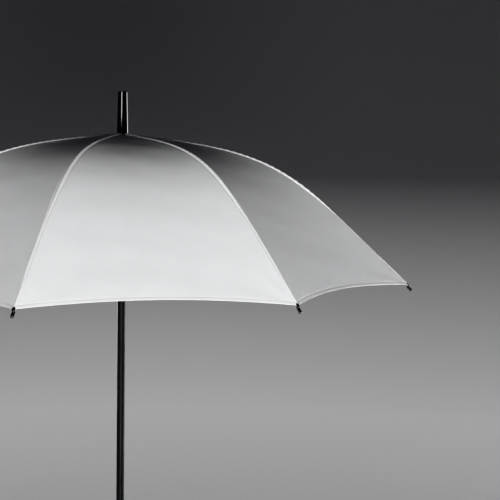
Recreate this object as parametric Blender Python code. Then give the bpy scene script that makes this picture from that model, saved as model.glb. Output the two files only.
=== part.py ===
"""Umbrella reflector: an eight-rib folding canopy on a straight tube shaft.

Metres, +Z up along the shaft. The origin is on the shaft's axis at the height where a light stand's
umbrella bracket grips it. Rib 1 points along -Y and the ribs are numbered towards +X.
"""

import math

import bmesh
import bpy
import numpy as np
from mathutils import Matrix, Vector

# Canopy
RIB_COUNT = 8
APEX_Z = 0.690  # top of the fabric above the clamp point
RIB_ARC = 0.581  # length of the fabric along a rib, from the shaft's axis to the corner
CROWN_SLOPE = math.radians(6.2)  # the fabric's fall at the crown
TIP_SLOPE = math.radians(44.0)  # and at the corners
BEND_AT = 0.460  # where along the rib it bends most, as a share of its length
BEND_RATE = 10.5  # how sharply it bends there
HEM_RISE = 0.040  # how far the hem is cut back midway between ribs, as a share of RIB_ARC
GORE_SAG = 0.031  # how far a gore is pulled in between its ribs, as a share of its width
FABRIC = 0.0010
NECK_HOLE_R = 0.0085
COLUMNS = 4  # facets across each rib's share of the fabric
INNER_ROWS = 7
OUTER_ROWS = 6

# Shaft, ferrule and end cap
SHAFT_R = 0.0070
SHAFT_WALL = 0.0010
SHAFT_BOTTOM_Z = -0.055
SHAFT_TOP_Z = APEX_Z + 0.0445
FERRULE_TOP_R = 0.0080
FERRULE_BASE_R = 0.0098
FERRULE_H = 0.073
FERRULE_EDGE = 0.0010
END_CAP_R = 0.0085
END_CAP_H = 0.009
END_CAP_FACE_R = 0.0065
END_CAP_EDGE = 0.0006
PLUG_H = 0.012
PLUG_CHAMFER = 0.0009

# Crown and runner, which hold the ribs' and stretchers' inner ends on a wire ring
PIVOT_R = 0.012
CROWN_PIVOT_Z = APEX_Z - 0.0069
HUB_R = 0.0155
HUB_RISE = 0.0034  # from the pivots to the hub's closed face
HUB_DROP = 0.0045  # from the pivots to the hub's open face
HUB_EDGE = 0.0008
SLOT_W = 0.0030
SLOT_R = 0.0094
WIRE_R = 0.0006
GROOVE_H = 0.0018
CROWN_COLLAR = 0.006
RUNNER_SLEEVE_R = 0.0092
RUNNER_SKIRT = 0.038
RUNNER_FLARE = 0.003
RUNNER_GRIP_R = 0.0110
RUNNER_GRIP_H = 0.004

# Ribs and stretchers
RIB_TOP = 0.0023  # from the fabric's outer face down to the ribs
JOINT_SHARE = 0.5  # where the stretcher meets the rib, as a share of RIB_ARC
JOINT_DEPTH = 0.0050  # from the fabric's outer face down to the stretcher's rivet
CHANNEL_W = 0.0034
CHANNEL_H = 0.0030
CHANNEL_WALL = 0.0006
CHANNEL_END = 0.008  # from a hub's pivot to the start of the channel
CHANNEL_STOP = 0.0065  # from the end of the rib's channel to the stretcher's rivet
NECK_L = 0.012  # from a hub's pivot to the root of the flattened eye
NECK_R = 0.0013
EYE_R = 0.0022
EYE_HOLE_R = 0.00095
EYE_W = 0.0024
EAR_ROOT = 0.0047
EAR_IN = 0.00105
EAR_OUT = 0.00175
TONGUE_W = 0.0015
TONGUE_R = 0.0021
TONGUE_NECK_R = 0.0016
CHEEK_IN = 0.00205
CHEEK_OUT = 0.00285
CHEEK_STEP = 0.00005  # how far a cheek's faces lie inside the fork block's
CHEEK_NECK_R = 0.0016
RIVET_R = 0.0008
RIVET_HOLE_R = 0.00115
RIVET_HEAD_R = 0.0016
RIVET_HEAD_IN = 0.00315
RIVET_HEAD_OUT = 0.00365
FORK_L = 0.017
FORK_BASE_L = 0.004
FORK_BASE_R = 0.0018
ROD_ROOT_R = 0.0015
ROD_TIP_R = 0.0011
ROD_START = 0.0075  # from the rivet to the root of the rod's socket
SOCKET_R = 0.0020
SOCKET_L = 0.022
SOCKET_TAPER = 0.002
SOCKET_CHAMFER = 0.0003
CAP_R = 0.0026
CAP_ROOT_R = 0.0021
CAP_ROOT_L = 0.0015
CAP_L = 0.0110
CAP_DOME = 0.0016
CAP_BORE_L = 0.0075
CAP_SIDES = 12
CAP_CLEAR = 0.0005  # between the fabric's corner and the cap
ROD_IN_CAP = 0.0065

# Catches in the shaft
CATCH_W = 0.0018
CATCH_SLOT_W = 0.0026
CATCH_SLOT_ABOVE = 0.0008
CATCH_SLOT_BELOW = 0.004
CATCH_PIVOT_Y = 0.0035
CATCH_L = 0.030  # from its pin up to the top of the tooth
CATCH_LEAF = 0.0018
CATCH_TOOTH_L = 0.011
CATCH_TIP_Y = 0.0104
CATCH_TIP_DROP = 0.0006  # the tooth's top falls to its tip, so it swings in clear of the runner
CATCH_TIP_H = 0.0012
CATCH_PIN_R = 0.0007
CATCH_PIN_HALF = 0.0054
CATCH_EYE_R = 0.0017
CATCH_EYE_HALF = 0.0011
CATCH_TOOTH_BACK = 0.0240  # from a closed runner's pivots down to the lower tooth's top
WINDOW_H = 0.0125
WINDOW_W = 0.0032
WINDOW_ABOVE = 0.001

# Motion
JOINT_CLOSED_R = 0.034  # the stretcher joints' distance from the axis with the umbrella shut

GAP = 0.0003
PAST = 0.002  # how far a cutter runs past the faces that it opens
ROUND = 32  # sides of the large round pieces
FINE = 8  # and of the rivets, eyes and rods
STATIONS = 400

GORE = 2 * math.pi / RIB_COUNT


def slope_at(share):
    """The fabric's fall along a rib, at this share of its length."""
    bend = 1 / (1 + np.exp(-BEND_RATE * (share - BEND_AT)))
    return CROWN_SLOPE + (TIP_SLOPE - CROWN_SLOPE) * bend


STEP = RIB_ARC / STATIONS
MIDDLES = (np.arange(STATIONS) + 0.5) / STATIONS
SHARES = np.linspace(0, 1, STATIONS + 1)
OUTWARD = np.concatenate([[0], np.cumsum(np.cos(slope_at(MIDDLES)) * STEP)])
FALL = np.concatenate([[0], np.cumsum(np.sin(slope_at(MIDDLES)) * STEP)])


def rib_line(share, depth=0.0):
    """(distance from the axis, height) of a point under the fabric's outer face along a rib."""
    slope = slope_at(share)
    out = float(np.interp(share, SHARES, OUTWARD)) - depth * math.sin(slope)
    return out, APEX_Z - float(np.interp(share, SHARES, FALL)) - depth * math.cos(slope)


CROWN_PIVOT = (PIVOT_R, CROWN_PIVOT_Z)
RIB_JOINT = rib_line(JOINT_SHARE, JOINT_DEPTH)
LINK = math.dist(CROWN_PIVOT, RIB_JOINT)
OPEN_ANGLE = math.atan2(CROWN_PIVOT_Z - RIB_JOINT[1], RIB_JOINT[0] - PIVOT_R)
CLOSED_ANGLE = math.acos((JOINT_CLOSED_R - PIVOT_R) / LINK)
RUNNER_PIVOT_Z = CROWN_PIVOT_Z - 2 * LINK * math.sin(OPEN_ANGLE)
RUNNER_CLOSED_Z = CROWN_PIVOT_Z - 2 * LINK * math.sin(CLOSED_ANGLE)
TOP_CATCH_Z = RUNNER_PIVOT_Z - RUNNER_SKIRT - GAP
BOTTOM_CATCH_Z = RUNNER_CLOSED_Z - CATCH_TOOTH_BACK


def material(name, colour, roughness, metallic):
    made = bpy.data.materials.new(name)
    made.use_nodes = True
    shader = made.node_tree.nodes["Principled BSDF"]
    shader.inputs["Base Color"].default_value = (*colour, 1)
    shader.inputs["Roughness"].default_value = roughness
    shader.inputs["Metallic"].default_value = metallic
    return made


def arc(centre, radius, first, last, steps):
    """Points round a centre, from one angle to another, both included."""
    angles = np.linspace(first, last, steps + 1)
    return [(centre[0] + radius * math.cos(a), centre[1] + radius * math.sin(a)) for a in angles]


def mesh_object(name, bm):
    """A new object from a bmesh, its faces turned outwards."""
    bmesh.ops.recalc_face_normals(bm, faces=bm.faces)
    mesh = bpy.data.meshes.new(name)
    bm.to_mesh(mesh)
    bm.free()
    made = bpy.data.objects.new(name, mesh)
    bpy.context.scene.collection.objects.link(made)
    return made


def turned(name, profile, segments=ROUND):
    """A profile of (radius, height) points turned about Z. Points on the axis close it there."""
    bm = bmesh.new()
    rings = []
    for radius, height in profile:
        if radius == 0:
            rings.append([bm.verts.new((0, 0, height))])
            continue
        angles = [2 * math.pi * k / segments for k in range(segments)]
        ring = [bm.verts.new((radius * math.cos(a), radius * math.sin(a), height)) for a in angles]
        rings.append(ring)
    pairs = list(zip(rings, rings[1:]))
    if profile[0][0] != 0:
        pairs.append((rings[-1], rings[0]))
    for one, two in pairs:
        for k in range(segments):
            corners = [one[k % len(one)], one[(k + 1) % segments % len(one)]]
            corners += [two[(k + 1) % segments % len(two)], two[k % len(two)]]
            bm.faces.new(list(dict.fromkeys(corners)))
    return mesh_object(name, bm)


def lofted(name, sections):
    """A solid through sections with equal numbers of points, closed at both ends."""
    bm = bmesh.new()
    rings = [[bm.verts.new(p) for p in section] for section in sections]
    for one, two in zip(rings, rings[1:]):
        for k in range(len(one)):
            bm.faces.new((one[k - 1], one[k], two[k], two[k - 1]))
    bm.faces.new(rings[0])
    bm.faces.new(rings[-1])
    return mesh_object(name, bm)


def plate(name, outline, low, high, axis="Y"):
    """A flat outline of (across, up) points given a thickness along the local axis."""
    def point(across, up, level):
        return (across, level, up) if axis == "Y" else (level, across, up)

    return lofted(name, [[point(a, b, level) for a, b in outline] for level in (low, high)])


def pair_of_plates(name, outline, inside, outside):
    """Two equal plates either side of the local XZ plane."""
    return [plate(name, outline, inside, outside), plate(name, outline, -outside, -inside)]


def cylinder(name, centre, radius, low, high, axis="Y"):
    """A fine round bar along the local axis through (across, up)."""
    outline = arc(centre, radius, 0, 2 * math.pi, FINE)[:-1]
    return plate(name, outline, low, high, axis)


def box(name, low, high):
    sides = [(low[0], low[1]), (high[0], low[1]), (high[0], high[1]), (low[0], high[1])]
    return lofted(name, [[(x, y, z) for x, y in sides] for z in (low[2], high[2])])


def capsule(start, end, start_r, end_r):
    """The outline round two circles in one plane, as (across, up) points."""
    way = math.atan2(end[1] - start[1], end[0] - start[0])
    quarter = math.pi / 2
    far = arc(end, end_r, way - quarter, way + quarter, FINE // 2)
    near = arc(start, start_r, way + quarter, way + 3 * quarter, FINE // 2)
    return far + near


def combine(base, others, operation):
    """The base joined with, or cut by, the others, which are used up."""
    for other in others:
        cut = base.modifiers.new(operation.lower(), "BOOLEAN")
        cut.operation = operation
        cut.object = other
    bpy.context.view_layer.update()
    shape = base.evaluated_get(bpy.context.evaluated_depsgraph_get())
    mesh = bpy.data.meshes.new_from_object(shape)
    base.modifiers.clear()
    base.data = mesh
    for other in others:
        bpy.data.objects.remove(other)
    return base


def finish(made, look, origin=(0, 0, 0), crease=35):
    """Give a piece its material and smooth shading, and put its origin on this point."""
    made.data.transform(Matrix.Translation(-Vector(origin)))
    made.location = made.location + Vector(origin)
    made.data.materials.clear()
    made.data.materials.append(look)
    made.data.shade_smooth()
    made.data.set_sharp_from_angle(angle=math.radians(crease))
    return made


def towards_rib(k):
    """The turn from +X to a rib's direction."""
    return Matrix.Rotation(GORE * k - math.pi / 2, 4, "Z")


def copies(made, stem, pivot):
    """The piece, modelled with +X outwards from a pivot (distance, height), at every rib."""
    for k in range(RIB_COUNT):
        copy = made if k == 0 else bpy.data.objects.new(stem, made.data)
        if k:
            bpy.context.scene.collection.objects.link(copy)
        copy.name = f"{stem}_{k + 1}"
        copy.matrix_world = towards_rib(k) @ Matrix.Translation((pivot[0], 0, pivot[1]))


def relative(point, origin):
    return point[0] - origin[0], point[1] - origin[1]


def catch_slot(tooth_z):
    """Cutter for the slot that a catch's tooth comes out of."""
    low = (-CATCH_SLOT_W / 2, SHAFT_R - 2 * SHAFT_WALL, tooth_z - CATCH_TOOTH_L - CATCH_SLOT_BELOW)
    high = (CATCH_SLOT_W / 2, SHAFT_R + PAST, tooth_z + CATCH_SLOT_ABOVE)
    return box("slot", low, high)


def make_shaft(look):
    inner = SHAFT_R - SHAFT_WALL
    profile = [(SHAFT_R, SHAFT_BOTTOM_Z), (SHAFT_R, SHAFT_TOP_Z)]
    profile += [(inner, SHAFT_TOP_Z), (inner, SHAFT_BOTTOM_Z)]
    shaft = turned("shaft", profile)
    teeth = (TOP_CATCH_Z, BOTTOM_CATCH_Z)
    combine(shaft, [catch_slot(z) for z in teeth], "DIFFERENCE")
    centres = [(CATCH_PIVOT_Y, z - CATCH_L) for z in teeth]
    pins = [cylinder("pin", c, CATCH_PIN_R, -CATCH_PIN_HALF, CATCH_PIN_HALF, "X") for c in centres]
    finish(combine(shaft, pins, "UNION"), look)


def make_catch(name, tooth_z, look):
    """A leaf on a pin inside the shaft, with a tooth that stands out through the slot."""
    pin = (CATCH_PIVOT_Y, tooth_z - CATCH_L)
    back = CATCH_PIVOT_Y - CATCH_LEAF / 2
    front = CATCH_PIVOT_Y + CATCH_LEAF / 2
    tip_z = tooth_z - CATCH_TIP_DROP
    outline = [(back, pin[1]), (front, pin[1]), (front, tooth_z - CATCH_TOOTH_L)]
    outline += [(CATCH_TIP_Y, tip_z - CATCH_TIP_H), (CATCH_TIP_Y, tip_z)]
    outline += [(SHAFT_R, tooth_z), (back, tooth_z)]
    leaf = plate(name, outline, -CATCH_W / 2, CATCH_W / 2, "X")
    eye = cylinder("eye", pin, CATCH_EYE_R, -CATCH_EYE_HALF, CATCH_EYE_HALF, "X")
    combine(leaf, [eye], "UNION")
    hole = cylinder("hole", pin, CATCH_PIN_R + GAP, -PAST, PAST, "X")
    combine(leaf, [hole], "DIFFERENCE")
    finish(leaf, look, (0, *pin))


def make_ferrule(look):
    base = APEX_Z + GAP
    top = APEX_Z + FERRULE_H
    profile = [(0, base), (FERRULE_BASE_R, base)]
    profile += arc((FERRULE_TOP_R - FERRULE_EDGE, top - FERRULE_EDGE), FERRULE_EDGE, 0, math.pi / 2, 4)
    profile.append((0, top))
    bore = SHAFT_R + GAP
    bore_top = SHAFT_TOP_Z + GAP
    drill = turned("drill", [(0, base - PAST), (bore, base - PAST), (bore, bore_top), (0, bore_top)])
    finish(combine(turned("ferrule", profile), [drill], "DIFFERENCE"), look)


def make_end_cap(look):
    top = SHAFT_BOTTOM_Z - GAP
    bottom = top - END_CAP_H
    plug_top = top + PLUG_H
    plug_r = SHAFT_R - SHAFT_WALL - GAP
    edge = END_CAP_R - END_CAP_FACE_R
    profile = [(0, plug_top), (plug_r - PLUG_CHAMFER, plug_top), (plug_r, plug_top - PLUG_CHAMFER)]
    profile += [(plug_r, top), (END_CAP_R - END_CAP_EDGE, top), (END_CAP_R, top - END_CAP_EDGE)]
    profile += arc((END_CAP_FACE_R, bottom + edge), edge, 0, -math.pi / 2, 4)
    profile.append((0, bottom))
    finish(turned("end_cap", profile), look)


def hub_cutters(pivot_z, low, high):
    """Slots at each rib's direction, and the groove that the wire ring lies in."""
    cutters = []
    for k in range(RIB_COUNT):
        slot = box("slot", (SLOT_R, -SLOT_W / 2, low), (HUB_R + PAST, SLOT_W / 2, high))
        slot.data.transform(towards_rib(k))
        cutters.append(slot)
    half = GROOVE_H / 2
    inside = PIVOT_R - WIRE_R - GAP
    outside = HUB_R + PAST
    ring = [(inside, -half), (outside, -half), (outside, half), (inside, half)]
    cutters.append(turned("groove", [(r, pivot_z + z) for r, z in ring]))
    return cutters


def make_wire(name, pivot_z, look):
    """The ring of wire that the ribs' or the stretchers' eyes turn on."""
    profile = arc((PIVOT_R, pivot_z), WIRE_R, 0, 2 * math.pi, 6)[:-1]
    finish(turned(name, profile), look)


def make_crown(look):
    bore = SHAFT_R + GAP
    top = CROWN_PIVOT_Z + HUB_RISE
    bottom = CROWN_PIVOT_Z - HUB_DROP
    collar = bottom - CROWN_COLLAR
    rim = HUB_R - HUB_EDGE
    profile = [(bore, top), (rim, top), (HUB_R, top - HUB_EDGE), (HUB_R, bottom + HUB_EDGE)]
    profile += [(rim, bottom), (SLOT_R, bottom), (SLOT_R, collar), (bore, collar)]
    cutters = hub_cutters(CROWN_PIVOT_Z, bottom - PAST, top + PAST)
    finish(combine(turned("crown", profile), cutters, "DIFFERENCE"), look)


def make_runner(look):
    bore = SHAFT_R + GAP
    top = RUNNER_PIVOT_Z + HUB_DROP
    under = RUNNER_PIVOT_Z - HUB_RISE
    flare = under - RUNNER_FLARE
    end = RUNNER_PIVOT_Z - RUNNER_SKIRT
    grip = end + RUNNER_GRIP_H
    rim = HUB_R - HUB_EDGE
    grip_rim = RUNNER_GRIP_R - HUB_EDGE
    profile = [(bore, end), (grip_rim, end), (RUNNER_GRIP_R, end + HUB_EDGE)]
    profile += [(RUNNER_GRIP_R, grip - HUB_EDGE), (grip_rim, grip), (RUNNER_SLEEVE_R, grip)]
    profile += [(RUNNER_SLEEVE_R, flare), (rim, under), (HUB_R, under + HUB_EDGE)]
    profile += [(HUB_R, top - HUB_EDGE), (rim, top), (bore, top)]
    cutters = hub_cutters(RUNNER_PIVOT_Z, flare - HUB_EDGE, top + PAST)
    window_top = RUNNER_PIVOT_Z - CATCH_TOOTH_BACK + WINDOW_ABOVE
    low = (-WINDOW_W / 2, SHAFT_R - SHAFT_WALL, window_top - WINDOW_H)
    cutters.append(box("window", low, (WINDOW_W / 2, RUNNER_GRIP_R + PAST, window_top)))
    runner = combine(turned("runner", profile), cutters, "DIFFERENCE")
    finish(runner, look, (0, -PIVOT_R, RUNNER_PIVOT_Z))


def channel_section(centre, slope):
    """Outline of a folded channel across the direction that falls by slope at this point."""
    half_w, half_h, wall = CHANNEL_W / 2, CHANNEL_H / 2, CHANNEL_WALL
    outline = [(-half_w, -half_h), (-half_w, half_h), (half_w, half_h), (half_w, -half_h)]
    outline += [(half_w - wall, -half_h), (half_w - wall, half_h - wall)]
    outline += [(wall - half_w, half_h - wall), (wall - half_w, -half_h)]
    return [(centre[0] + h * math.sin(slope), w, centre[1] + h * math.cos(slope)) for w, h in outline]


def make_rib_inner(look):
    """The channel from the crown to the stretcher's rivet, which it carries between two ears."""
    depth = RIB_TOP + CHANNEL_H / 2
    first = (PIVOT_R + CHANNEL_END) / RIB_ARC
    last = JOINT_SHARE - CHANNEL_STOP / RIB_ARC
    shares = np.linspace(first, last, 10)
    centres = [relative(rib_line(s, depth), CROWN_PIVOT) for s in shares]
    rib = lofted("rib_inner", [channel_section(c, slope_at(s)) for c, s in zip(centres, shares)])
    neck = relative(rib_line((PIVOT_R + NECK_L) / RIB_ARC, depth), CROWN_PIVOT)
    joint = relative(RIB_JOINT, CROWN_PIVOT)
    grip = relative(rib_line(last - EAR_ROOT / RIB_ARC, depth), CROWN_PIVOT)
    joined = [plate("eye", capsule((0, 0), neck, EYE_R, NECK_R), -EYE_W / 2, EYE_W / 2)]
    joined += pair_of_plates("ear", capsule(grip, joint, NECK_R, EYE_R), EAR_IN, EAR_OUT)
    joined.append(cylinder("rivet", joint, RIVET_R, GAP - RIVET_HEAD_OUT, RIVET_HEAD_OUT - GAP))
    head = arc(joint, RIVET_HEAD_R, 0, 2 * math.pi, FINE)[:-1]
    joined += pair_of_plates("head", head, RIVET_HEAD_IN, RIVET_HEAD_OUT)
    combine(rib, joined, "UNION")
    combine(rib, [cylinder("hole", (0, 0), EYE_HOLE_R, -EYE_W, EYE_W)], "DIFFERENCE")
    copies(finish(rib, look), "rib_inner", CROWN_PIVOT)


def rod_section(share, radius):
    """Outline across the outer rib, whose top stays at one depth under the fabric."""
    held = min(share, 1.0)
    slope = slope_at(held)
    past = (share - held) * RIB_ARC
    out, height = relative(rib_line(held, RIB_TOP + radius), RIB_JOINT)
    centre = (out + past * math.cos(slope), height - past * math.sin(slope))
    angles = [2 * math.pi * (k + 0.5) / FINE for k in range(FINE)]
    around = [(radius * math.cos(a), radius * math.sin(a)) for a in angles]
    return [(centre[0] + h * math.sin(slope), w, centre[1] + h * math.cos(slope)) for w, h in around]


def make_rib_outer(look):
    """The springy round rod from the stretcher's joint to the corner, with a socket at its root."""
    first = JOINT_SHARE + ROD_START / RIB_ARC
    socket_end = JOINT_SHARE + SOCKET_L / RIB_ARC
    taper = SOCKET_TAPER / RIB_ARC
    stations = [(first, SOCKET_R - SOCKET_CHAMFER), (first + taper, SOCKET_R)]
    stations += [(socket_end - taper, SOCKET_R), (socket_end, ROD_ROOT_R)]
    for share in np.linspace(socket_end, 1 + ROD_IN_CAP / RIB_ARC, 9)[1:]:
        thinned = (share - socket_end) / (1 - socket_end)
        stations.append((share, ROD_ROOT_R + (ROD_TIP_R - ROD_ROOT_R) * thinned))
    rod = lofted("rib_outer", [rod_section(share, radius) for share, radius in stations])
    neck = relative(rib_line(first + taper, RIB_TOP + SOCKET_R), RIB_JOINT)
    tongue = capsule((0, 0), neck, TONGUE_R, TONGUE_NECK_R)
    combine(rod, [plate("tongue", tongue, -TONGUE_W / 2, TONGUE_W / 2)], "UNION")
    combine(rod, [cylinder("hole", (0, 0), RIVET_HOLE_R, -TONGUE_W, TONGUE_W)], "DIFFERENCE")
    copies(finish(rod, look), "rib_outer", RIB_JOINT)


def make_tip_cap(look):
    """The cap on a rib's end, just beyond the fabric's corner."""
    profile = [(0, 0), (CAP_ROOT_R, 0), (CAP_R, CAP_ROOT_L)]
    profile += arc((CAP_R - CAP_DOME, CAP_L - CAP_DOME), CAP_DOME, 0, math.pi / 2, 3)
    profile.append((0, CAP_L))
    bore = ROD_TIP_R + GAP
    drill = turned("drill", [(0, -PAST), (bore, -PAST), (bore, CAP_BORE_L), (0, CAP_BORE_L)], FINE)
    cap = combine(turned("tip_cap", profile, CAP_SIDES), [drill], "DIFFERENCE")
    cap.data.transform(Matrix.Rotation(math.pi / 2 + TIP_SLOPE, 4, "Y"))
    out, height = relative(rib_line(1.0, RIB_TOP + ROD_TIP_R), RIB_JOINT)
    start = (out + CAP_CLEAR * math.cos(TIP_SLOPE), 0, height - CAP_CLEAR * math.sin(TIP_SLOPE))
    cap.data.transform(Matrix.Translation(start))
    copies(finish(cap, look), "tip_cap", RIB_JOINT)


def along_stretcher(length):
    """(outward, up) of a point this far from the rib's rivet, on the way to the runner."""
    return -length * math.cos(OPEN_ANGLE), -length * math.sin(OPEN_ANGLE)


def make_stretcher(look):
    """The channel from a rib's rivet, which its fork straddles, back to the runner's wire."""
    lengths = (FORK_L + FORK_BASE_L / 2, LINK - CHANNEL_END)
    bar = lofted("stretcher", [channel_section(along_stretcher(s), -OPEN_ANGLE) for s in lengths])
    eye = along_stretcher(LINK)
    neck = along_stretcher(LINK - NECK_L)
    joined = [plate("eye", capsule(eye, neck, EYE_R, NECK_R), -EYE_W / 2, EYE_W / 2)]
    base = along_stretcher(FORK_L)
    block = capsule(base, along_stretcher(FORK_L + FORK_BASE_L), FORK_BASE_R, FORK_BASE_R)
    joined.append(plate("fork", block, -CHEEK_OUT, CHEEK_OUT))
    cheek = capsule((0, 0), base, EYE_R, CHEEK_NECK_R)
    joined += pair_of_plates("cheek", cheek, CHEEK_IN, CHEEK_OUT - CHEEK_STEP)
    combine(bar, joined, "UNION")
    holes = [cylinder("hole", eye, EYE_HOLE_R, -EYE_W, EYE_W)]
    holes.append(cylinder("hole", (0, 0), RIVET_HOLE_R, -2 * CHEEK_OUT, 2 * CHEEK_OUT))
    combine(bar, holes, "DIFFERENCE")
    copies(finish(bar, look), "stretcher", RIB_JOINT)


def gore_point(share, across, depth=0.0):
    """A point of the canopy beside the rib that lies along +X.

    across runs from -0.5 to 0.5, from the middle of one gore over the rib to the middle of the next.
    """
    w = abs(across)
    side = 1 if across >= 0 else -1
    bulge = 4 * w * (1 - w)
    share = share * (1 - HEM_RISE * bulge * share**3)
    out, height = rib_line(share)
    here = Vector((out, 0, height))
    there = Vector((out * math.cos(GORE), side * out * math.sin(GORE), height))
    slope = slope_at(share)
    middle = Vector((math.cos(GORE / 2), side * math.sin(GORE / 2), 0))
    normal = middle * math.sin(slope) + Vector((0, 0, math.cos(slope)))
    pulled = GORE_SAG * 2 * out * math.sin(GORE / 2) * bulge
    return here.lerp(there, w) - normal * (pulled + depth)


def canopy_layer(bm, shares, depth, pivot):
    """Rows of points from mid-gore to mid-gore, held half a gap back from the next rib's share."""
    layer = []
    for share in shares:
        row = []
        for k in range(COLUMNS + 1):
            across = k / COLUMNS - 0.5
            point = gore_point(share, across, depth) - Vector((pivot[0], 0, pivot[1]))
            if k in (0, COLUMNS):
                back = -math.copysign(math.cos(GORE / 2), across)
                point += Vector((math.sin(GORE / 2), back, 0)) * GAP / 2
            row.append(bm.verts.new(point))
        layer.append(row)
    return layer


def make_canopy(stem, first, last, rows, look, pivot):
    """One rib's share of the fabric between two shares of the rib, from mid-gore to mid-gore."""
    bm = bmesh.new()
    shares = np.linspace(first, last, rows + 1)
    top, under = [canopy_layer(bm, shares, depth, pivot) for depth in (0.0, FABRIC)]
    for i in range(rows):
        for k in range(COLUMNS):
            bm.faces.new((top[i][k], top[i][k + 1], top[i + 1][k + 1], top[i + 1][k]))
            bm.faces.new((under[i][k], under[i + 1][k], under[i + 1][k + 1], under[i][k + 1]))
    rim = [(0, k) for k in range(COLUMNS)] + [(i, COLUMNS) for i in range(rows)]
    rim += [(rows, k) for k in range(COLUMNS, 0, -1)] + [(i, 0) for i in range(rows, 0, -1)]
    for (i, k), (j, m) in zip(rim, rim[1:] + rim[:1]):
        bm.faces.new((top[i][k], top[j][m], under[j][m], under[i][k]))
    copies(finish(mesh_object(stem, bm), look, crease=60), stem, pivot)


def main():
    for old in list(bpy.data.objects):
        bpy.data.objects.remove(old)
    tube = material("shaft_enamel", (0.012, 0.012, 0.013), 0.35, 0.6)
    gloss = material("ferrule_gloss", (0.008, 0.008, 0.009), 0.12, 0.0)
    nylon = material("black_nylon", (0.02, 0.02, 0.021), 0.5, 0.0)
    caps = material("tip_plastic", (0.01, 0.01, 0.011), 0.35, 0.0)
    steel = material("rib_steel", (0.03, 0.03, 0.032), 0.35, 0.9)
    fibre = material("rib_fibreglass", (0.02, 0.02, 0.02), 0.45, 0.0)
    wire = material("spring_steel", (0.55, 0.55, 0.56), 0.3, 1.0)
    cloth = material("silver_fabric", (0.55, 0.56, 0.57), 0.45, 0.5)

    make_shaft(tube)
    make_ferrule(gloss)
    make_end_cap(nylon)
    make_crown(nylon)
    make_wire("crown_wire", CROWN_PIVOT_Z, wire)
    make_runner(nylon)
    make_wire("runner_wire", RUNNER_PIVOT_Z, wire)
    make_catch("top_catch", TOP_CATCH_Z, wire)
    make_catch("bottom_catch", BOTTOM_CATCH_Z, wire)
    make_rib_inner(steel)
    make_rib_outer(fibre)
    make_tip_cap(caps)
    make_stretcher(steel)
    seam = GAP / 2 / RIB_ARC
    make_canopy("canopy_inner", NECK_HOLE_R / RIB_ARC, JOINT_SHARE - seam, INNER_ROWS, cloth, CROWN_PIVOT)
    make_canopy("canopy_outer", JOINT_SHARE + seam, 1.0, OUTER_ROWS, cloth, RIB_JOINT)


main()
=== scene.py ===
"""The umbrella reflector's looks: a silver cloth canopy on black metal and plastic.

Metres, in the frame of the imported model. Rib 1 points along -Y and the ribs are numbered towards +X.
Gore k lies between rib k and the next one, and w runs from 0 at its own rib to 1 at the next.
"""

import math

import bpy
import numpy as np
from mathutils import Matrix, Vector


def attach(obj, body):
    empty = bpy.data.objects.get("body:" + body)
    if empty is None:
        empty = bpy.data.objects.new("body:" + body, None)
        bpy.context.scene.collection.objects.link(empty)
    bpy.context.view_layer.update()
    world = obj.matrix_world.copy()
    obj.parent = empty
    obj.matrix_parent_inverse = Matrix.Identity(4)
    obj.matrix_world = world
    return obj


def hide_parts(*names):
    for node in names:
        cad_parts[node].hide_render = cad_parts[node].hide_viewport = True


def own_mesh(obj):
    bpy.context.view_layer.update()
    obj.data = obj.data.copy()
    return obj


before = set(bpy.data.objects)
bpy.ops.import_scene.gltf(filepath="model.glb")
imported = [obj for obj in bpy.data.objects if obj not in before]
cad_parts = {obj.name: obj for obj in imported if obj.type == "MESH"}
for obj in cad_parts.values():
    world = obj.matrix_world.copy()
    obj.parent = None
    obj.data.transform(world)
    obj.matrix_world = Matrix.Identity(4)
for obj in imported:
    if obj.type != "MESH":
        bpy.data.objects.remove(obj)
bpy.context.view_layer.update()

# The canopy's shape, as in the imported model
RIB_COUNT = 8
APEX_Z = 0.690
RIB_ARC = 0.581
CROWN_SLOPE = math.radians(6.2)
TIP_SLOPE = math.radians(44.0)
BEND_AT = 0.460
BEND_RATE = 10.5
HEM_RISE = 0.040
GORE_SAG = 0.031
NECK_HOLE_R = 0.0085
JOINT_SHARE = 0.5
STATIONS = 400
GORE = 2 * math.pi / RIB_COUNT

# The cloth
CLOTH = 0.0004
SEAM_ALLOWANCE = 0.0050  # half the width of the turned-in edges under each seam
SEAM_BULK = 0.0006  # and how thick they are
HEM_W = 0.0062
HEM_RAISE = 0.00018
HEM_GROOVE = 0.00012  # how deep its stitching pulls in
HEM_BULK = 0.0003
SEAM_HALF_W = (0.0031, 0.0014)  # of the ridge over a seam, at the crown and at the hem
SEAM_H = (0.0027, 0.0007)
SEAM_WALL = (0.0018, 0.0006)  # how wide the cloth bends down to it
SEAM_SUNK = 0.0003
TAPE = 0.0004
SEAM_GROOVE = 0.0012  # how far it bends down
SEAM_GROOVE_AT = 0.0002  # from the ridge's edge to where it is deepest
NEAR_SEAM = 0.009  # the width beside a seam that has the finer columns
FINE_COLUMNS = 15
BROAD_COLUMNS = 22
INNER_ROWS = 60
OUTER_ROWS = 52
HEM_ROWS = 12
HEM_BAND = 0.009  # the width at the hem that has them
CROWN_CLEAR = 0.0125  # how far from the axis the seams start


def slope_at(share):
    """The cloth's fall along a rib, at this share of its length."""
    bend = 1 / (1 + np.exp(-BEND_RATE * (share - BEND_AT)))
    return CROWN_SLOPE + (TIP_SLOPE - CROWN_SLOPE) * bend


STEP = RIB_ARC / STATIONS
MIDDLES = (np.arange(STATIONS) + 0.5) / STATIONS
SHARES = np.linspace(0, 1, STATIONS + 1)
OUTWARD = np.concatenate([[0], np.cumsum(np.cos(slope_at(MIDDLES)) * STEP)])
FALL = np.concatenate([[0], np.cumsum(np.sin(slope_at(MIDDLES)) * STEP)])


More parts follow.
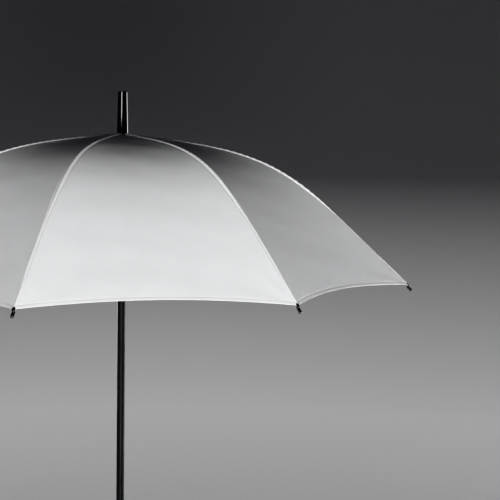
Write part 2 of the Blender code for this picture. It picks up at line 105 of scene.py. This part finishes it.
def smooth(x):
    """0 to 1 as x goes from 0 to 1, with level ends."""
    x = np.clip(x, 0, 1)
    return x * x * (3 - 2 * x)


def rib_direction(k):
    angle = GORE * k - math.pi / 2
    return np.array([math.cos(angle), math.sin(angle), 0.0])


def rib_point(share):
    """(distance from the axis, height) of the cloth over a rib. Past the ends it runs on straight."""
    held = np.clip(share, 0, 1)
    past = (share - held) * RIB_ARC
    out = np.interp(held, SHARES, OUTWARD) + past * np.cos(slope_at(held))
    return out, APEX_Z - np.interp(held, SHARES, FALL) - past * np.sin(slope_at(held))


def hem_cut(share, w):
    """The share of the rib's length that a point lies at, with the hem cut back between the ribs."""
    return share * (1 - HEM_RISE * 4 * w * (1 - w) * share**3)


def half_width(share):
    """Half the straight distance between two ribs at a share of their length."""
    return rib_point(share)[0] * math.sin(GORE / 2)


def worn(share):
    """0 where a seam's ridge stands full, at the crown, to 1 where it lies flattest, at the hem."""
    return smooth((share - 0.56) / 0.2)


def seam_half_width(share):
    return SEAM_HALF_W[0] + (SEAM_HALF_W[1] - SEAM_HALF_W[0]) * worn(share)


def flat_gore(k, share, w):
    """The gore's taut surface, without any wrinkle."""
    share = hem_cut(share, w)
    out, height = rib_point(share)
    slope = slope_at(share)
    middle = rib_direction(k + 0.5)
    ends = np.multiply.outer(out * (1 - w), rib_direction(k))
    ends = ends + np.multiply.outer(out * w, rib_direction(k + 1))
    normal = np.multiply.outer(np.sin(slope), middle)
    normal[..., 2] += np.cos(slope)
    pulled = GORE_SAG * 2 * out * math.sin(GORE / 2) * 4 * w * (1 - w)
    points = ends - normal * pulled[..., None]
    points[..., 2] += height
    return points, normal


def folds(k, share, w):
    """How far the cloth stands off its taut surface: tension folds, puckers and slack."""
    rng = np.random.default_rng(40 + k % RIB_COUNT)
    phase = rng.uniform(0, 2 * math.pi, 12)
    half = half_width(share)
    along = share * RIB_ARC
    beside = np.minimum(w, 1 - w) * 2 * half
    inside = smooth(beside / 0.030)

    # Long shallow folds that run in from each corner
    off = np.zeros_like(along + w)
    for end, at in ((w, phase[0]), (1 - w, phase[1])):
        across = end * 2 * half
        up = (1 - share) * RIB_ARC
        reach = np.hypot(across, up) + 1e-6
        angle = np.arctan2(across, up + 1e-6)
        wave = np.sin(angle * 7 + at) * 0.7 + np.sin(angle * 13 + 2 * at) * 0.3
        off += 0.00028 * wave * np.exp(-reach / 0.09) * smooth(reach / 0.04) * smooth(angle / 0.3)

    # Faint slack across the gore
    slack = np.sin(along / 0.0125 + 1.3 * np.sin(w * math.pi * 2 + phase[2]) + phase[3])
    slack += 0.7 * np.sin(along / 0.021 + 1.9 * np.cos(w * math.pi * 1.5 + phase[4]) + phase[5])
    off += 0.00010 * slack * inside * smooth(share / 0.15)
    billow = np.sin(w * math.pi) * np.sin(share * math.pi * 1.6 + phase[6] * 0.2)
    off += 0.0007 * billow * smooth(share / 0.2)

    # Puckers beside the stitched seams
    for end, at in ((w, phase[7]), (1 - w, phase[8])):
        near = end * 2 * half
        pull = np.sin(along / 0.0019 + at + 1.5 * np.sin(along / 0.031 + at))
        pull += 0.6 * np.sin(along / 0.0046 + 2 * at)
        off += 0.00011 * pull * np.exp(-near / 0.007) * smooth(near / 0.002)
        past = np.maximum(near - seam_half_width(share) - SEAM_GROOVE_AT, 0)
        wall = SEAM_WALL[0] + (SEAM_WALL[1] - SEAM_WALL[0]) * worn(share)
        off -= SEAM_GROOVE * np.exp(-((past / wall) ** 2)) * (1 - smooth((share - 0.86) / 0.1))

    # The hem, turned under once and stitched
    from_hem = (1 - share) * RIB_ARC
    off += HEM_RAISE * smooth((HEM_W - from_hem) / 0.0024)
    off -= HEM_GROOVE * np.exp(-((from_hem - HEM_W) / 0.0010) ** 2)
    return off


def gore_points(k, share, w):
    points, normal = flat_gore(k, share, w)
    return points + normal * folds(k, share, w)[..., None]


def gore_normals(k, share, w):
    """Unit normals of the wrinkled surface, the same on both sides of any cut through it."""
    step = 0.0004
    along = gore_points(k, share + step, w) - gore_points(k, share - step, w)
    across = gore_points(k, share, w + step) - gore_points(k, share, w - step)
    normal = np.cross(along, across)
    return normal / np.linalg.norm(normal, axis=-1, keepdims=True)


def thickness(share, w):
    """The cloth, and the turned-in edges that lie under it along the seams and the hem."""
    beside = np.minimum(w, 1 - w) * 2 * half_width(share)
    seam = smooth((SEAM_ALLOWANCE - beside) / 0.0016)
    hem = smooth((HEM_W + 0.0008 - (1 - share) * RIB_ARC) / 0.0016)
    return CLOTH + SEAM_BULK * seam + HEM_BULK * hem


# Materials


def add(tree, kind, settings=(), **inputs):
    """A node with these settings and inputs. An input that is a socket is linked to it."""
    made = tree.nodes.new(kind)
    for name, value in dict(settings).items():
        setattr(made, name, value)
    for name, value in inputs.items():
        place = made.inputs[int(name[1:])] if name[0] == "_" else made.inputs[name.replace("_", " ")]
        if isinstance(value, bpy.types.NodeSocket):
            tree.links.new(value, place)
        else:
            place.default_value = value
    return made


def principled(name, **inputs):
    made = bpy.data.materials.new(name)
    made.use_nodes = True
    shader = made.node_tree.nodes["Principled BSDF"]
    for key, value in inputs.items():
        shader.inputs[key.replace("_", " ")].default_value = value
    return made, made.node_tree, shader


def maths(tree, operation, a, b=0.0, c=0.0):
    return add(tree, "ShaderNodeMath", {"operation": operation}, _0=a, _1=b, _2=c).outputs[0]


def ranged(tree, value, low, high, from_low=0.0, from_high=1.0):
    made = add(tree, "ShaderNodeMapRange", _0=value, _1=from_low, _2=from_high, _3=low, _4=high)
    return made.outputs["Result"]


def noise(tree, coordinates, scale, detail=3.0, roughness=0.5):
    made = add(tree, "ShaderNodeTexNoise", Vector=coordinates, Scale=scale, Detail=detail,
               Roughness=roughness)
    return made.outputs["Fac"]


def stretched(tree, coordinates, scale):
    made = add(tree, "ShaderNodeMapping", Vector=coordinates, Scale=scale)
    return made.outputs["Vector"]


def between(tree, amount, dark, light):
    made = add(tree, "ShaderNodeMix", {"data_type": "RGBA"}, Factor=amount)
    made.inputs[6].default_value = (*dark, 1)
    made.inputs[7].default_value = (*light, 1)
    return made.outputs[2]


def bump(tree, height, strength, distance, normal=None):
    made = add(tree, "ShaderNodeBump", Height=height, Strength=strength, Distance=distance)
    if normal is not None:
        tree.links.new(normal, made.inputs["Normal"])
    return made.outputs["Normal"]


def weave_height(tree, uv, pitch):
    """Plain weave from threads along and across the gore, whose thickness varies a little."""
    scale = math.pi / 10 / pitch
    warp = add(tree, "ShaderNodeTexWave", {"bands_direction": "X"}, Vector=uv, Scale=scale)
    weft = add(tree, "ShaderNodeTexWave", {"bands_direction": "Y"}, Vector=uv, Scale=scale)
    slub = noise(tree, stretched(tree, uv, (1 / pitch, 0.05 / pitch, 1)), 0.5, 2.0)
    cross_slub = noise(tree, stretched(tree, uv, (0.05 / pitch, 1 / pitch, 1)), 0.5, 2.0)
    threads = maths(tree, "MULTIPLY", warp.outputs["Fac"], weft.outputs["Fac"])
    uneven = maths(tree, "ADD", slub, cross_slub)
    return maths(tree, "MULTIPLY_ADD", uneven, 0.8, threads)


def cloth_material(name, dark, light, rough, pitch, strength, **inputs):
    made, tree, shader = principled(name, **inputs)
    uv = add(tree, "ShaderNodeUVMap", {"uv_map": "weave"}).outputs["UV"]
    height = weave_height(tree, uv, pitch)
    mottle = noise(tree, uv, 28.0, 4.0, 0.6)
    grain = noise(tree, uv, 900.0, 2.0, 0.6)
    shade = maths(tree, "MULTIPLY_ADD", grain, 0.35, maths(tree, "MULTIPLY", mottle, 0.65))
    tree.links.new(between(tree, shade, dark, light), shader.inputs["Base Color"])
    tree.links.new(ranged(tree, mottle, *rough, 0.3, 0.7), shader.inputs["Roughness"])
    coarse = bump(tree, mottle, 0.25, 0.0006)
    tree.links.new(bump(tree, height, strength, 0.00012, coarse), shader.inputs["Normal"])
    return made


WEAVE_PITCH = 0.00055
silver = cloth_material("silver_cloth", (0.66, 0.665, 0.67), (0.74, 0.745, 0.75), (0.42, 0.52),
                        WEAVE_PITCH, 0.5, Metallic=0.2, Specular_IOR_Level=0.35)
lining = cloth_material("silver_cloth_inside", (0.55, 0.555, 0.56), (0.66, 0.665, 0.67), (0.50, 0.62),
                        WEAVE_PITCH, 0.5, Metallic=0.35)


# Canopy


def add_mesh(name, points, faces, looks, face_look=None):
    mesh = bpy.data.meshes.new(name)
    mesh.from_pydata(points, [], faces)
    for look in looks:
        mesh.materials.append(look)
    if face_look is not None:
        mesh.polygons.foreach_set("material_index", face_look)
    mesh.shade_smooth()
    made = bpy.data.objects.new(name, mesh)
    bpy.context.scene.collection.objects.link(made)
    return made


def grid_faces(rows, columns, start=0, flip=False):
    """Quads over a grid of points, row by row."""
    i, j = np.meshgrid(np.arange(rows - 1), np.arange(columns - 1), indexing="ij")
    one = (start + i * columns + j).ravel()
    quads = np.stack([one, one + columns, one + columns + 1, one + 1], axis=1)
    return quads[:, ::-1] if flip else quads


def rim_faces(rows, columns):
    """Quads that join the edge of a grid to the same grid one layer down."""
    count = rows * columns
    ring = [(0, j) for j in range(columns - 1)] + [(i, columns - 1) for i in range(rows - 1)]
    ring += [(rows - 1, j) for j in range(columns - 1, 0, -1)] + [(i, 0) for i in range(rows - 1, 0, -1)]
    index = np.array([i * columns + j for i, j in ring])
    following = np.roll(index, -1)
    return np.stack([index, following, following + count, index + count], axis=1)


def cloth_shell(name, k, share, w):
    """A closed shell of cloth over part of gore k, from grids of shares and w."""
    rows, columns = share.shape
    top = gore_points(k, share, w)
    normals = gore_normals(k, share, w)
    under = top - normals * thickness(share, w)[..., None]
    points = np.concatenate([top.reshape(-1, 3), under.reshape(-1, 3)])
    count = rows * columns
    upper = grid_faces(rows, columns)
    lower = grid_faces(rows, columns, count, flip=True)
    rim = rim_faces(rows, columns)
    faces = np.concatenate([upper, lower, rim])
    look = np.concatenate([np.zeros(len(upper)), np.ones(len(lower)), np.zeros(len(rim))]).astype(int)
    made = add_mesh(name, points.tolist(), faces.tolist(), (silver, lining), look)
    flat_normals = normals.reshape(-1, 3)
    corner_normals = np.zeros((len(faces) * 4, 3))
    corner_normals[: len(upper) * 4] = flat_normals[upper.ravel()]
    made.data.normals_split_custom_set(corner_normals.tolist())
    across = (w - 0.5) * 2 * half_width(share)
    uv = np.stack([across, share * RIB_ARC], axis=-1).reshape(-1, 2)
    layer = made.data.uv_layers.new(name="weave")
    layer.data.foreach_set("uv", uv[faces.ravel() % count].ravel().astype(np.float32))
    return made


def columns_of(share, from_mid):
    """w for each column of one half gore: finer beside the seam, even from there to mid-gore."""
    near = np.minimum(0.5, NEAR_SEAM / half_width(share))[:, None]
    fine = near * np.arange(FINE_COLUMNS) / FINE_COLUMNS
    broad = near + (1 - near) * np.arange(BROAD_COLUMNS + 1) / BROAD_COLUMNS
    w = 0.5 * np.concatenate([fine, broad], axis=1)
    return (1 - w)[:, ::-1] if from_mid else w


ZONES = {
    "inner": {"body": "rib_{}", "node": "canopy_inner_{}", "tilt": -11.49, "keep": 0.202,
              "anchor": (0.26, 0.017), "chord": (0.03, JOINT_SHARE)},
    "outer": {"body": "rib_end_{}", "node": "canopy_outer_{}", "tilt": -20.05, "keep": 0.136,
              "anchor": (0.75, 0.0093), "chord": (JOINT_SHARE, 1.0)},
}
INNER_SHARES = np.linspace(NECK_HOLE_R / RIB_ARC, JOINT_SHARE, INNER_ROWS)
OUTER_SHARES = np.concatenate([
    np.linspace(JOINT_SHARE, 1 - HEM_BAND / RIB_ARC, OUTER_ROWS),
    np.linspace(1 - HEM_BAND / RIB_ARC, 1, HEM_ROWS + 1)[1:],
])
ZONES["inner"]["shares"] = INNER_SHARES
ZONES["outer"]["shares"] = OUTER_SHARES


def squash_to_rib(piece):
    """Give the half gore its own copy of its mesh."""
    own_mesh(piece)


def seam_piece(name, k, shares):
    """The felled seam over a rib: a low rounded fold of cloth."""
    across = np.sin(np.linspace(-1, 1, 11) * math.pi / 2)
    high = SEAM_H[0] + (SEAM_H[1] - SEAM_H[0]) * worn(shares)[:, None]
    y = seam_half_width(shares)[:, None] * across
    h = high * np.sqrt(1 - across**2) - SEAM_SUNK
    rows, columns = y.shape
    share = np.repeat(shares[:, None], columns, axis=1)
    w = np.abs(y) / (2 * half_width(share))
    right = gore_points(k, share, w)
    left = gore_points(k - 1, share, 1 - w)
    base = np.where((y >= 0)[..., None], right, left)
    slope = slope_at(shares)
    normal = np.multiply.outer(np.sin(slope), rib_direction(k))
    normal[..., 2] += np.cos(slope)
    ripple = 1 + 0.12 * np.sin(shares * RIB_ARC / 0.0019 + k)
    top = base + normal[:, None, :] * (h * ripple[:, None])[..., None]
    under = base + normal[:, None, :] * (np.minimum(h, 0) - TAPE)[..., None]
    points = np.concatenate([top.reshape(-1, 3), under.reshape(-1, 3)])
    count = rows * columns
    faces = np.concatenate([grid_faces(rows, columns), grid_faces(rows, columns, count, flip=True),
                            rim_faces(rows, columns)])
    made = add_mesh(name, points.tolist(), faces.tolist(), (silver,))
    uv = np.stack([y, share * RIB_ARC], axis=-1).reshape(-1, 2)
    layer = made.data.uv_layers.new(name="weave")
    layer.data.foreach_set("uv", uv[faces.ravel() % count].ravel().astype(np.float32))
    made.data.set_sharp_from_angle(angle=math.radians(60))
    return made


def make_canopy():
    for k in range(RIB_COUNT):
        for zone_name, zone in ZONES.items():
            shares = zone["shares"]
            body = zone["body"].format(k + 1)
            node = zone["node"].format(k + 1)
            inset = shares[shares > CROWN_CLEAR / RIB_ARC]
            tape_shares = np.linspace(inset[0], min(shares[-1], 1 - 0.001 / RIB_ARC), 150)
            seam = seam_piece(f"seam_{zone_name}_{k + 1}", k, tape_shares)
            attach(seam, body)
            for side, word in ((1, "right"), (-1, "left")):
                w = columns_of(shares, from_mid=side < 0)
                share = np.repeat(shares[:, None], w.shape[1], axis=1)
                name = f"cloth_{zone_name}_{k + 1}_{word}"
                piece = cloth_shell(name, k if side > 0 else k - 1, share, w)
                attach(piece, body)
                squash_to_rib(piece)
                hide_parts(node)


make_canopy()


# Hard parts

LUG_AT = 0.0004  # from the canopy's corner back to the middle of the lug
LUG = (0.0026, 0.0044, 0.0014)  # half its width, half its length, its height over the cloth
LUG_SINK = 0.0006


def turned_coordinates(tree):
    return add(tree, "ShaderNodeTexCoord").outputs["Object"]


def shaft_enamel():
    made, tree, shader = principled("shaft_enamel", Specular_IOR_Level=0.10)
    place = turned_coordinates(tree)
    streaks = noise(tree, stretched(tree, place, (260, 260, 22)), 1.0, 4.0, 0.65)
    fine = noise(tree, stretched(tree, place, (900, 900, 500)), 1.0, 2.0)
    colour = between(tree, streaks, (0.003, 0.003, 0.0032), (0.009, 0.009, 0.0095))
    tree.links.new(colour, shader.inputs["Base Color"])
    tree.links.new(ranged(tree, streaks, 0.34, 0.60, 0.3, 0.7), shader.inputs["Roughness"])
    rough = bump(tree, streaks, 0.35, 0.0002)
    tree.links.new(bump(tree, fine, 0.2, 0.00004, rough), shader.inputs["Normal"])
    return made


def moulded(name, dark, light, rough, grain, depth, **inputs):
    """Moulded plastic: a fine grain, smudges in its gloss and a little colour drift."""
    made, tree, shader = principled(name, **inputs)
    place = turned_coordinates(tree)
    drift = noise(tree, place, 60.0, 4.0, 0.6)
    fine = noise(tree, place, grain, 2.0)
    tree.links.new(between(tree, drift, dark, light), shader.inputs["Base Color"])
    tree.links.new(ranged(tree, drift, *rough, 0.3, 0.7), shader.inputs["Roughness"])
    tree.links.new(bump(tree, fine, 0.3, depth), shader.inputs["Normal"])
    return made


def coated_steel(name, dark, light, rough, worn):
    """Black-coated steel, rubbed through to bright metal in small patches."""
    made, tree, shader = principled(name)
    place = turned_coordinates(tree)
    drift = noise(tree, place, 45.0, 5.0, 0.6)
    scratches = noise(tree, place, 420.0, 3.0, 0.7)
    bare = ranged(tree, maths(tree, "MULTIPLY", drift, scratches), 0.0, 1.0, worn, worn + 0.05)
    coat = between(tree, drift, dark, light)
    metal = add(tree, "ShaderNodeMix", {"data_type": "RGBA"}, Factor=bare)
    tree.links.new(coat, metal.inputs[6])
    metal.inputs[7].default_value = (0.42, 0.42, 0.43, 1)
    tree.links.new(metal.outputs[2], shader.inputs["Base Color"])
    tree.links.new(bare, shader.inputs["Metallic"])
    tree.links.new(ranged(tree, drift, *rough, 0.3, 0.7), shader.inputs["Roughness"])
    tree.links.new(bump(tree, scratches, 0.15, 0.00003), shader.inputs["Normal"])
    return made


def bright_steel():
    made, tree, shader = principled("spring_steel", Metallic=1.0)
    place = turned_coordinates(tree)
    brushed = noise(tree, stretched(tree, place, (2500, 2500, 120)), 1.0, 3.0)
    colour = between(tree, brushed, (0.42, 0.42, 0.43), (0.62, 0.62, 0.63))
    tree.links.new(colour, shader.inputs["Base Color"])
    tree.links.new(ranged(tree, brushed, 0.22, 0.42, 0.3, 0.7), shader.inputs["Roughness"])
    tree.links.new(bump(tree, brushed, 0.15, 0.00003), shader.inputs["Normal"])
    return made


LOOKS = {
    "shaft": shaft_enamel(),
    "ferrule": moulded("ferrule_gloss", (0.0015, 0.0015, 0.0017), (0.003, 0.003, 0.0034),
                       (0.05, 0.10), 400.0, 0.00001, Coat_Weight=0.3),
    "tip_cap": moulded("tip_plastic", (0.006, 0.006, 0.0065), (0.012, 0.012, 0.013),
                       (0.25, 0.40), 900.0, 0.00003),
    "nylon": moulded("black_nylon", (0.012, 0.012, 0.0125), (0.024, 0.024, 0.025),
                     (0.38, 0.52), 1500.0, 0.00004),
    "rod": moulded("rib_fibreglass", (0.010, 0.010, 0.0105), (0.024, 0.024, 0.024),
                   (0.34, 0.5), 1800.0, 0.00004),
    "rib": coated_steel("rib_steel", (0.014, 0.014, 0.015), (0.030, 0.030, 0.032), (0.26, 0.42), 0.36),
    "spring": bright_steel(),
}
NODE_LOOKS = {
    "shaft": "shaft", "ferrule": "ferrule", "end_cap": "nylon", "crown": "nylon", "runner": "nylon",
    "crown_wire": "spring", "runner_wire": "spring", "top_catch": "spring", "bottom_catch": "spring",
}
for stem, look in (("rib_inner", "rib"), ("stretcher", "rib"), ("rib_outer", "rod"), ("tip_cap", "tip_cap")):
    for number in range(1, RIB_COUNT + 1):
        NODE_LOOKS[f"{stem}_{number}"] = look
for node_name, look in NODE_LOOKS.items():
    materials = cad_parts[node_name].data.materials
    materials.clear()
    materials.append(LOOKS[look])


def dome_points(rings, turns):
    """A closed half ball on a flat base, as unit (across, along, up) points and faces."""
    points = [(0, 0, 1)]
    for lift in np.linspace(math.pi / 2, 0, rings + 1)[1:]:
        for turn in np.linspace(0, 2 * math.pi, turns + 1)[:-1]:
            points.append((math.cos(lift) * math.cos(turn), math.cos(lift) * math.sin(turn), math.sin(lift)))
    points += [(a, b, -0.4) for a, b, c in points[-turns:]]
    points.append((0, 0, -0.4))
    faces = [(0, 1 + i, 1 + (i + 1) % turns) for i in range(turns)]
    for ring in range(rings):
        one = 1 + ring * turns
        for i in range(turns):
            j = (i + 1) % turns
            faces.append((one + i, one + turns + i, one + turns + j, one + j))
    last = 1 + rings * turns
    faces += [(last + i, len(points) - 1, last + (i + 1) % turns) for i in range(turns)]
    return points, faces


def make_lugs():
    """The lug of each tip cap, a low dome that covers the canopy's corner where it is sewn on."""
    unit, faces = dome_points(5, 20)
    share = 1 - LUG_AT / RIB_ARC
    out, height = rib_point(share)
    slope = slope_at(share)
    for k in range(RIB_COUNT):
        away = rib_direction(k)
        along = away * math.cos(slope) - np.array([0, 0, math.sin(slope)])
        up = away * math.sin(slope) + np.array([0, 0, math.cos(slope)])
        across = np.cross(up, along)
        middle = away * out + np.array([0, 0, height]) - up * LUG_SINK
        points = [middle + across * a * LUG[0] + along * b * LUG[1] + up * c * LUG[2] for a, b, c in unit]
        lug = add_mesh(f"cap_lug_{k + 1}", points, faces, (LOOKS["tip_cap"],))
        lug.data.set_sharp_from_angle(angle=math.radians(50))
        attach(lug, f"rib_end_{k + 1}")


make_lugs()


# Camera, light and stage

CAMERA_AT = Vector((0.515, -1.786, APEX_Z - 0.0855))
CAMERA_YAW = math.radians(-9.08)
CAMERA_PITCH = math.radians(3.60)
CAMERA_ROLL = math.radians(0.80)
CAMERA_LENS = 75.33
FLOOR_Z = -1.9
FLOOR_R = 6.5
COVE_R = 2.0
WALL_TOP_Z = 5.0
FLOOR_FADE_Z = -1.5  # the height at which it starts to fade
WALL_DIM_Z = 0.7  # the height by which the floor's paleness has faded
FLOOR_COLOUR = (0.78, 0.78, 0.785)
WALL_COLOUR = (0.15, 0.15, 0.155)
FLOOR_GLOW = 0.30
WALL_GLOW = 0.10


def make_camera():
    yaw, pitch, roll = CAMERA_YAW, CAMERA_PITCH, CAMERA_ROLL
    ahead = Vector((math.sin(yaw) * math.cos(pitch), math.cos(yaw) * math.cos(pitch), -math.sin(pitch)))
    level = Vector((math.cos(yaw), -math.sin(yaw), 0))
    upward = level.cross(ahead)
    right = level * math.cos(roll) + upward * math.sin(roll)
    up = upward * math.cos(roll) - level * math.sin(roll)
    data = bpy.data.cameras.new("camera")
    data.lens = CAMERA_LENS
    camera = bpy.data.objects.new("camera", data)
    bpy.context.scene.collection.objects.link(camera)
    turn = Matrix((right, up, -ahead)).transposed().to_4x4()
    camera.matrix_world = Matrix.Translation(CAMERA_AT) @ turn
    bpy.context.scene.camera = camera


def make_light(name, azimuth, elevation, distance, size, power, target=(0, 0, 0.55)):
    """A soft rectangular light that faces a point. Azimuth 0 is on the -Y side, 90 on the +X side."""
    data = bpy.data.lights.new(name, "AREA")
    data.shape = "RECTANGLE"
    data.size, data.size_y = size
    data.energy = power
    made = bpy.data.objects.new(name, data)
    bpy.context.scene.collection.objects.link(made)
    a, e = math.radians(azimuth), math.radians(elevation)
    away = Vector((math.sin(a) * math.cos(e), -math.cos(a) * math.cos(e), math.sin(e)))
    made.location = Vector(target) + away * distance
    made.rotation_euler = away.to_track_quat("Z", "Y").to_euler()
    made.visible_camera = False


def make_world():
    """A dark ceiling."""
    world = bpy.data.worlds.new("studio")
    bpy.context.scene.world = world
    world.use_nodes = True
    background = world.node_tree.nodes["Background"]
    background.inputs["Color"].default_value = (0.03, 0.03, 0.032, 1)


def make_stage():
    """A round pale floor that glows softly and curves up into a dim wall."""
    made, tree, shader = principled("floor", Roughness=0.9)
    place = turned_coordinates(tree)
    height = add(tree, "ShaderNodeSeparateXYZ", _0=place).outputs["Z"]
    rise = ranged(tree, height, 0.0, 1.0, FLOOR_FADE_Z, WALL_DIM_Z)
    tree.links.new(between(tree, rise, FLOOR_COLOUR, WALL_COLOUR), shader.inputs["Base Color"])
    tree.links.new(between(tree, rise, FLOOR_COLOUR, WALL_COLOUR), shader.inputs["Emission Color"])
    tree.links.new(ranged(tree, rise, FLOOR_GLOW, WALL_GLOW), shader.inputs["Emission Strength"])
    cove = [(FLOOR_R + COVE_R * math.sin(a), FLOOR_Z + COVE_R * (1 - math.cos(a)))
            for a in np.linspace(0, math.pi / 2, 13)]
    profile = [(0.0, FLOOR_Z)] + cove + [(FLOOR_R + COVE_R, WALL_TOP_Z)]
    turns = np.linspace(0, 2 * math.pi, 97)[:-1]
    points = [(r * math.cos(a), r * math.sin(a), z) for r, z in profile for a in turns]
    rings = np.arange(len(points)).reshape(len(profile), -1)
    faces = []
    for one, two in zip(rings, rings[1:]):
        faces += np.stack([one, two, np.roll(two, -1), np.roll(one, -1)], axis=1).tolist()
    floor = add_mesh("floor", points, faces, (made,))


make_camera()
make_world()
make_stage()
make_light("key", 18, -10, 3.2, (0.7, 0.7), 172)
make_light("fill", 96, -28, 1.7, (0.6, 0.6), 16, (0.30, 0, 0.42))
make_light("rim", 138, -20, 2.6, (0.8, 0.8), 26)
make_light("strip", -5, 12, 3.0, (0.5, 0.28), 4.5)
make_light("left", -62, -18, 3.0, (0.9, 0.9), 16)
make_light("back", 222, -6, 3.4, (1.2, 1.2), 60)
make_light("back_right", 150, 0, 3.4, (1.2, 1.2), 30)
bpy.context.scene.view_settings.view_transform = "Khronos PBR Neutral"
